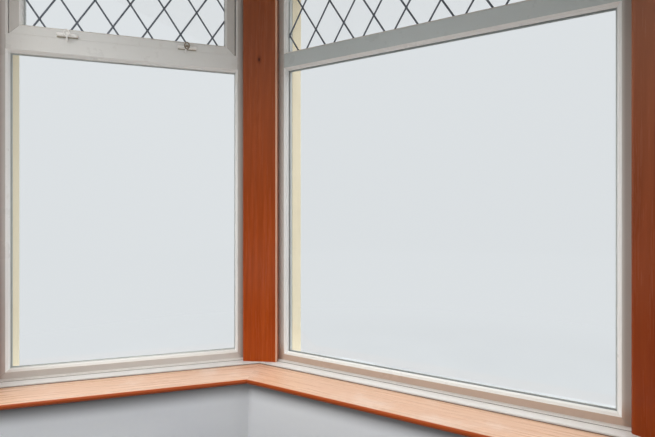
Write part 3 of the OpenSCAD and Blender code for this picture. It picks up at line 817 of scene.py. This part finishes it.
def add_welds(bm, facet):
    """Fine joints across the frames' corners and at the transoms' ends."""
    wide, proud = 0.0007, 0.0002
    lower, upper = LIGHTS[facet.name]
    bottom = lower.z[1] + BEVEL
    top = upper.z[0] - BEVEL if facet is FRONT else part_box("sash_right")[0].z
    joints = frame_corners(facet)
    joints += [((x, bottom), (x, top), FACE) for x in (lower.x[0] - BEVEL, lower.x[1] + BEVEL)]
    for inner, outer, face in joints:
        inner, outer = Vector(inner), Vector(outer)
        side = (outer - inner).orthogonal().normalized() * wide / 2
        outline = (inner + side, inner - side, outer - side, outer + side)
        loft(bm, [[facet.at(p.x, d, p.y) for p in outline] for d in (face, face + proud)])


def make_foot_beads(white, dark):
    """Rounded bead where the frames stand on the ledge, and the fine dark joint at its foot."""
    foot = (FACE, LEDGE_Z)
    bead = [(-0.001, 0), (0.012, 0), (0.0112, 0.0024), (0.0085, 0.0046), (0.0045, 0.0061), (-0.001, 0.0068)]
    joint = [(0.0115, 0), (0.0136, 0), (0.0134, 0.0005), (0.0115, 0.0008)]
    on_facets("foot_bead", moulding(ends_at_posts, foot, bead), white, smooth=True)
    on_facets("foot_joint", moulding(ends_at_posts, foot, joint), dark)


def add_post_joints(bm, facet):
    """Fine joints on the frames' faces, beside the posts."""
    wide, proud, sunk = 0.0013, 0.0006, 0.0005
    start, end = (x + lean * FACE for x, lean in ends_at_posts(facet))
    for x in ((start - sunk, start + wide), (end - wide, end + sunk)):
        add_block(bm, facet, x, (FACE - 0.0004, FACE + proud), (LEDGE_Z + 0.004, FRAME_TOP - 0.001))


def make_board_joints(brown):
    """Brown mastic in the groove between the ledge and the window board."""
    end = BOARD_IN - LEDGE_IN + 0.0002
    section = [(-0.0002, -0.008), (end, -0.008), (end, -0.0002), (0.0025, -0.0009), (-0.0002, 0.0006)]
    corner = (LEDGE_IN, LEDGE_Z - BOARD_DROP)
    on_facets("board_joint", moulding(ends_at_mitres, corner, section), brown)


def make_sill_beads(white):
    """Sealant in the corner between the frames and the masonry sill."""
    def ends(facet):
        start, end = LIGHTS[facet.name][0].x
        return (start - 0.011, 0), (end + 0.011, 0)
    section = [(0.002, -0.002), (-0.007, -0.002), (-0.006, 0.002), (-0.0025, 0.0055), (0.002, 0.007)]
    corner = (STREET_FACE - 0.001, LEDGE_Z + SEAT_Z)
    on_facets("sill_bead", moulding(ends, corner, section), white, smooth=True)


def add_leads(bm, facet):
    """Cames with rounded faces; those on the street face are narrower."""
    rounding = [(-1, -0.0002), (1, -0.0002), (0.88, 0.0005), (0.55, 0.0010), (0, CAME_T), (-0.55, 0.0010),
                (-0.88, 0.0005)]
    shortest = 0.012
    (x0, x1), (z0, z1) = LIGHTS[facet.name][1]
    middle, crossing = (x0 + x1) / 2, z0 + FIRST_ROW[facet.name]
    x0, x1, z0, z1 = x0 - LEAD_TUCK, x1 + LEAD_TUCK, z0 - LEAD_TUCK, z1 + LEAD_TUCK
    rise = DIAMOND_H[facet.name] / DIAMOND_W
    for k, way in product(range(-10, 10), (1, -1)):
        px = middle + (k + 0.5) * DIAMOND_W
        low, high = sorted(((x0 - px) * way, (x1 - px) * way))
        low, high = max(low, (z0 - crossing) / rise), min(high, (z1 - crossing) / rise)
        if high - low < shortest:
            continue
        side = Vector((-rise, way)).normalized()
        for half, face, out in ((0.0035, 0, 1), (0.0026, -LEADED_T, -1)):
            across = [(side * half * share, face + out * deep) for share, deep in rounding]
            loft(bm, [[facet.at(px + way * t + step.x, d, crossing + rise * t + step.y) for step, d in across]
                      for t in (low, high)])


def make_leads(material):
    """Detailed cames in the place of the plain ones."""
    for facet, piece in zip(FACETS, on_facets("leads", add_leads, material, smooth=True)):
        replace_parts(piece, "leading_" + facet.name)


def add_solder(bm, facet):
    """Low domes of solder where the leads cross, on both faces of the glass."""
    radius = 0.0051
    dome = [(1.0, -0.0002), (0.94, 0.0006), (0.7, 0.0013), (0.3, 0.0019)]
    (x0, x1), (z0, z1) = LIGHTS[facet.name][1]
    row, height = 0, z0 + FIRST_ROW[facet.name]
    while height < z1:
        for k in range(-8, 9):
            x = (x0 + x1) / 2 + (k + (0.0 if row % 2 else 0.5)) * DIAMOND_W
            if x0 + radius < x < x1 - radius and z0 + radius < height < z1 - radius:
                for face, way in ((0, 1), (-LEADED_T, -1)):
                    profile = [(radius * share, face + way * rise) for share, rise in dome]
                    add_turned(bm, facet, x, height, profile, 12)
        row += 1
        height += DIAMOND_H[facet.name] / 2


# Catches

def add_catch_bar(bm, facet, x):
    """A bar with a nearly flat face and rounded ends on a thin plate."""
    reach, plate, plate_half = 0.038, 0.030, 0.0080
    add_block(bm, facet, (x - plate, x + plate), (SASH_FACE - 0.0003, SASH_FACE + 0.0018),
              (CATCH_Z - plate_half, CATCH_Z + plate_half))
    edge = [(0.0, 0.0068), (0.0046, 0.0068), (0.0070, 0.0054), (0.0080, 0.0026)]
    section = [(d, -h) for d, h in edge] + [(0.0082, 0.0)] + edge[::-1]
    flat = 0.87
    loops = []
    for share in (-1, -0.98, -0.94, -flat, -0.4, 0.4, flat, 0.94, 0.98, 1):
        past = max(abs(share) - flat, 0) / (1 - flat)
        swell = math.sqrt(max(1 - past ** 2, 0)) * 0.85 + 0.15
        loops.append([facet.at(x + reach * share, SASH_FACE + 0.0015 + d * swell, CATCH_Z + h * swell)
                      for d, h in section])
    loft(bm, loops)


def add_catch_ring(bm, facet, x):
    """A ring to pull, in front of the bar."""
    half_wide, half_high, wire = 0.0090, 0.0135, 0.0026
    loops = []
    for out_x, out_z in circle(0, 0, 1, 20):
        loops.append([facet.at(x + out_x * (half_wide + a), SASH_FACE + 0.0130 + b,
                               CATCH_Z + 0.0050 + out_z * (half_high + a)) for a, b in circle(0, 0, wire, 8)])
    loft(bm, loops, closed=True)


def add_catch_boss(bm, facet, x):
    """The turning boss on the bar, inside the ring."""
    profile = [(0.0064, 0.004), (0.0064, 0.0095), (0.0050, 0.0112), (0.0024, 0.0118)]
    add_turned(bm, facet, x, CATCH_Z + 0.003, [(radius, SASH_FACE + d) for radius, d in profile], 14)


def add_catch_lever(bm, facet, x, swing):
    """A short lever below the boss, tilted sideways by swing radians."""
    side_x, side_z = math.cos(swing), math.sin(swing)
    outline = [(0.002, 0.0036, 0.0024), (0.010, 0.0030, 0.0022), (0.017, 0.0038, 0.0024),
               (0.0215, 0.0044, 0.0026), (0.0245, 0.0030, 0.0020)]
    loops = []
    for reach, half, thick in outline:
        middle = SASH_FACE + 0.0105 - reach * 0.12
        loops.append([facet.at(x + side_z * reach + side_x * half * a, middle + thick * b,
                               CATCH_Z - side_x * reach + side_z * half * a) for a, b in circle(0, 0, 1, 12)])
    loft(bm, loops)


def make_catches(silver, bronze, bar_shadow):
    """The four catches on the bottom rails of the sashes, in the place of their plain node.

    On each sash the one by the corner post has a bronze ring and boss, and the other is all silver.
    """
    pale, brown, strips = bmesh.new(), bmesh.new(), bmesh.new()
    for facet in SIDES:
        x0, x1 = LIGHTS[facet.name][0].x
        for x, ring_part, swing in ((x0 + CATCH_IN, brown, 0.35), (x1 - CATCH_IN, pale, 0.0)):
            add_catch_bar(pale, facet, x)
            add_catch_ring(ring_part, facet, x)
            add_catch_boss(ring_part, facet, x)
            add_catch_lever(pale, facet, x, swing)
            # a strip under each bar: a painted shadow of the bar
            add_block(strips, facet, (x - 0.036, x + 0.036), (SASH_FACE - 0.0003, SASH_FACE + 0.0030),
                      (CATCH_Z - 0.0100, CATCH_Z - 0.0066))
    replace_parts(new_piece("catches_silver", pale, silver, smooth=True), "catches")
    new_piece("catches_bronze", brown, bronze, smooth=True)
    new_piece("catch_packing", strips, bar_shadow)


# Roof

def on_slope(facet, x, u, n):
    """A point on a roof slope: x along it, u up it from its edge, n over the boards' underside."""
    rise, run = math.sin(PITCH), math.cos(PITCH)
    return facet.at(x, ROOF_D + u * run - n * rise, ROOF_Z + u * rise + n * run)


def cut_to_facet(bm, facet, gap):
    """Cuts what lies past the house wall and within a gap of the hips."""
    planes = [(Vector((0, BACK_Y, 0)), Vector((0, 1, 0)))]
    for side in (-1, 1):
        across = Vector((side * math.cos(HALF), math.sin(HALF), 0))
        corner = Vector((side * CORNER_X, GLASS_Y, 0))
        if facet is FRONT:
            planes.append((corner - across * gap, across))
        elif (facet is RIGHT) == (side > 0):
            planes.append((corner + across * gap, -across))
    for place, way in planes:
        geometry = bm.verts[:] + bm.edges[:] + bm.faces[:]
        cut = bmesh.ops.bisect_plane(bm, geom=geometry, plane_co=place, plane_no=way, clear_outer=True)
        edges = [item for item in cut["geom_cut"] if isinstance(item, bmesh.types.BMEdge)]
        if edges:
            bmesh.ops.contextual_create(bm, geom=edges)


def add_slate(target, facet, dice, x, u, length, tail, head, thick, wide):
    """One slate, cut to the slope. tail and head are its ends' heights over the boards' underside."""
    bm = bmesh.new()
    tint = bm.verts.layers.float.new("tint")
    half = wide / 2 - 0.0014
    steps, chamfer = 6, 0.0016
    lower = [(x - half + 2 * half * i / steps, u + dice.uniform(-0.0014, 0.0014)) for i in range(steps + 1)]
    outline = lower + [(x + half, u + length), (x - half, u + length)]
    near, far = x - half + chamfer, x + half - chamfer
    inset = [(min(max(px, near), far), pu + 0.003 * dice.uniform(0.6, 1.2)) for px, pu in lower]
    inset += [(far, u + length), (near, u + length)]
    loft(bm, [[on_slope(facet, px, pu, tail + (head - tail) * (pu - u) / length + lift) for px, pu in points]
              for points, lift in ((outline, 0), (outline, thick * 0.55), (inset, thick))])
    cut_to_facet(bm, facet, 0.0006)
    value = dice.random()
    for vert in bm.verts:
        vert[tint] = value
    pour(bm, target)


def make_roof(slate, timber):
    """Slates in lapped courses on boarding, in the place of the roof's plain slopes."""
    gauge, wide, thick = 0.2, 0.25, 0.0052
    length = 2 * gauge + 0.07
    edge = -0.010  # how far up the slope the lowest course begins
    board, board_wide, board_step, first_board = 0.014, 0.148, 0.15, 0.03
    for facet in FACETS:
        dice = random.Random("slates " + facet.name)
        if facet is FRONT:
            reach = (-CORNER_X - 0.2, CORNER_X + 0.2)
            top = (BACK_Y - GLASS_Y - ROOF_D) / math.cos(PITCH) + 0.05
        else:
            reach = (-0.75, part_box("roof_right")[1].x / math.cos(SPLAY))
            top = (BACK_Y - GLASS_Y) / math.cos(PITCH) + 0.35
        courses = [(edge, gauge + 0.09, board + thick, 0.0)]
        for row in range(math.ceil((top - edge) / gauge)):
            courses.append((edge + row * gauge, length, board + 2 * thick, 0.0 if row % 2 else 0.5))
        slates = bmesh.new()
        slates.verts.layers.float.new("tint")
        for u, long, tail, shift in courses:
            for k in range(math.floor(reach[0] / wide), math.ceil(reach[1] / wide) + 1):
                add_slate(slates, facet, dice, (k + shift) * wide, u + dice.uniform(-0.0015, 0.0015), long,
                          tail, board, thick * dice.uniform(0.88, 1.0), wide + dice.uniform(-0.001, 0.001))
        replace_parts(new_piece("slates_" + facet.name, slates, slate), "roof_" + facet.name)
        boards = bmesh.new()
        for row in range(math.ceil((top - first_board) / board_step)):
            low = first_board + row * board_step
            high = low + board_wide
            outline = [(low, 0.0), (high, 0.0), (high, board - 0.0002), (low, board - 0.0002)]
            bm = bmesh.new()
            loft(bm, [[on_slope(facet, x, u, n) for u, n in outline] for x in reach])
            cut_to_facet(bm, facet, 0.002)
            pour(bm, boards)
        new_piece("roof_boards_" + facet.name, boards, timber)


# Gutter

def gutter_arc(radius):
    """The gutter's lower half circle, as (depth, height) points."""
    points = circle(GUTTER_D, GUTTER_Z, radius, 40)
    return points[20:] + points[:1]


def add_strap(bm, facet, start, end, proud, tuck=-0.0005):
    """A curved strap on the underside of the gutter, from tuck to proud off its face."""
    add_run(bm, facet, start, end, gutter_arc(GUTTER_R + proud) + gutter_arc(GUTTER_R + tuck)[::-1])


def add_bracket(bm, facet, x):
    """A strap with a hook over the gutter's back edge and a clip on its front one."""
    back, front, rim = GUTTER_D + GUTTER_R, GUTTER_D - GUTTER_R, GUTTER_Z
    add_strap(bm, facet, (x - 0.014, 0), (x + 0.014, 0), 0.003)
    add_block(bm, facet, (x - 0.014, x + 0.014), (back - 0.003, back + 0.0004), (rim - 0.012, rim + 0.004))
    add_block(bm, facet, (x - 0.006, x + 0.006), (front - 0.001, front + 0.010), (rim - 0.001, rim + 0.0022))


def add_union(bm, facet, x):
    """A joint between two lengths of gutter, with a rib at each end."""
    reach, rib = 0.05, 0.005
    add_strap(bm, facet, (x - reach, 0), (x + reach, 0), 0.0042)
    for start in (x - reach, x + reach - rib):
        add_strap(bm, facet, (start, 0), (start + rib, 0), 0.0062, 0.003)


def add_stop_end(bm, facet, x):
    """A plate that closes the gutter short of the house wall."""
    x -= GUTTER_R + 0.006
    add_run(bm, facet, (x - 0.002, 0), (x + 0.002, 0), gutter_arc(GUTTER_R - 0.002))


def make_gutter_fittings(material):
    """Brackets, joints, mitred angles and stop ends of the gutter."""
    reach, proud = 0.07, 0.0038  # of an angle's halves
    bm = bmesh.new()
    for facet in FACETS:
        if facet is FRONT:
            brackets, union = (-0.62, 0.0, 0.62), 0.31
            add_strap(bm, facet, (-CORNER_X, LEAN), (-CORNER_X + reach, LEAN), proud)
            add_strap(bm, facet, (CORNER_X - reach, -LEAN), (CORNER_X, -LEAN), proud)
        else:
            wall_x = (BACK_Y - facet.origin.y - facet.inward.y * GUTTER_D) / facet.along.y
            brackets, union = (0.16, 0.72, wall_x - 0.14), 0.44
            add_strap(bm, facet, (0, LEAN), (reach, LEAN), proud)
            add_stop_end(bm, facet, wall_x)
        for x in brackets:
            add_bracket(bm, facet, x)
        add_union(bm, facet, union)
    new_piece("gutter_fittings", bm, material)


# Assembly

STAIN = ((142, 55, 8), (172, 71, 13), (194, 93, 28))  # dark, middle and pale
# the left corner post's stain, painted darker for the shade it stands in
SHADED_STAIN = ((116, 44, 8), (141, 57, 12), (160, 76, 26))
# the posts' tone towards their top: a painted sheen
TOP_SHEEN = (158, 88, 55)
KNOT = ((0.679, -0.2148, 2.109), 0.0065)  # place and size, in the right corner post
HIGHLIGHT_WAY = (-0.94, 0.342, 0)  # where that post's edge with the painted highlight faces

bpy.context.scene.view_settings.view_transform = "Standard"
make_camera()
make_world()
make_lamp("street_lamp", (-0.8, -3.4, 6.4), (0, 0, 1.2), (4, 3), 225, (0.97, 0.99, 1.0))
make_lamp("side_lamp", (-5.2, -1.4, 3.4), (0.9, 0.3, 1.3), (3.5, 3), 148)
make_lamp("far_side_lamp", (4.8, -1.6, 4.4), (-0.6, 0.2, 1.2), (3.5, 3), 165)
make_lamp("room_lamp", (1.3, 1.9, 4.0), (-0.4, 0.0, 1.0), (1.8, 1.4), 85, (1.0, 0.98, 0.96))
make_lamp("low_lamp", (0.3, 1.2, 1.1), (-0.1, 0.55, 2.4), (1.2, 0.5), 7.6, (1.0, 0.985, 0.96))
make_floor()

joint_dark = plain_look("joint_dark", (96, 86, 74), 0.8)
weld_grey = plain_look("weld_grey", (150, 148, 140), 0.5)
bead_white = plain_look("bead_white", (218, 214, 209), 0.4, spread=0.05)
gutter_white = plain_look("gutter_white", (228, 228, 224), 0.3, spread=0.05, grain=8)
came = lead_came()
lead = lead_sheet()

shared_looks = {
    "sill": sill_stone(), "glass": clear_glass(), "leading": came, "catches": weld_grey,
    "corner_post_right": post_wood("corner_post_right", STAIN, TOP_SHEEN, HIGHLIGHT_WAY, KNOT),
    # painted darker, a painted shade, and with a stronger painted sheen at its top
    "corner_post_left": post_wood("corner_post_left", SHADED_STAIN, (176, 118, 90)),
    "end_post": post_wood("end_post", STAIN, TOP_SHEEN),
    "ceiling": plaster_white(), "eaves": painted_white("eaves_white", (228, 227, 223)),
    "joists": sawn_timber("joist_timber", (1, 0.06, 1)),
    "rafters": sawn_timber("rafter_timber", (1, 0.06, 0.2)),
    "hip_leads": lead, "flashing": lead, "gutter": gutter_white, "roof": weld_grey}

for name, obj in nodes.items():
    facet = next((f for f in FACETS if name.endswith(f.name)), FRONT)
    kind = name.removesuffix("_" + facet.name)
    if kind in ("dwarf_wall", "end_pier", "corner_pier", "lintel"):
        look = masonry("masonry_" + name, facet, concrete_core if kind == "lintel" else brick_core)
    elif kind in ("frame", "sash"):
        look = frame_white("white_" + name, facet, kind == "sash")
    elif kind == "ledge":
        look = painted_white("ledge_white_" + facet.name, (226, 224, 221), facet.turn)
    elif kind == "board":
        look = board_wood(facet)
    else:
        look = shared_looks[name if name in shared_looks else kind]
    obj.data.materials.clear()
    obj.data.materials.append(look)

# the front's head and foot seals are painted grey, a painted shade; the sides' are pale
on_facets("gaskets", add_gaskets, seal_look("grey_seal", (126, 134, 138)),
          on_sides=seal_look("pale_seal", (216, 217, 213)))
on_facets("outer_beads", add_outer_beads, plain_look("outer_bead_white", (200, 204, 202), 0.35, spread=0.04))
on_facets("welds", add_welds, weld_grey)
make_foot_beads(bead_white, joint_dark)
on_facets("post_joints", add_post_joints, plain_look("joint_brown", (186, 150, 126), 0.8),
          on_sides=joint_dark)
make_board_joints(plain_look("brown_mastic", (104, 74, 52), 0.55))
make_sill_beads(bead_white)
make_leads(came)
on_facets("solder", add_solder, came, smooth=True)
# the third look is for the strips under the bars, a painted shadow
make_catches(plain_look("catch_silver", (250, 250, 248), 0.3, spread=0.02),
             plain_look("catch_bronze", (158, 146, 132), 0.35, 0.2),
             plain_look("catch_packing", (163, 158, 142), 0.8))
make_roof(riven_slate(), sawn_timber("roof_boarding", (0.06, 1, 1)))
make_gutter_fittings(gutter_white)
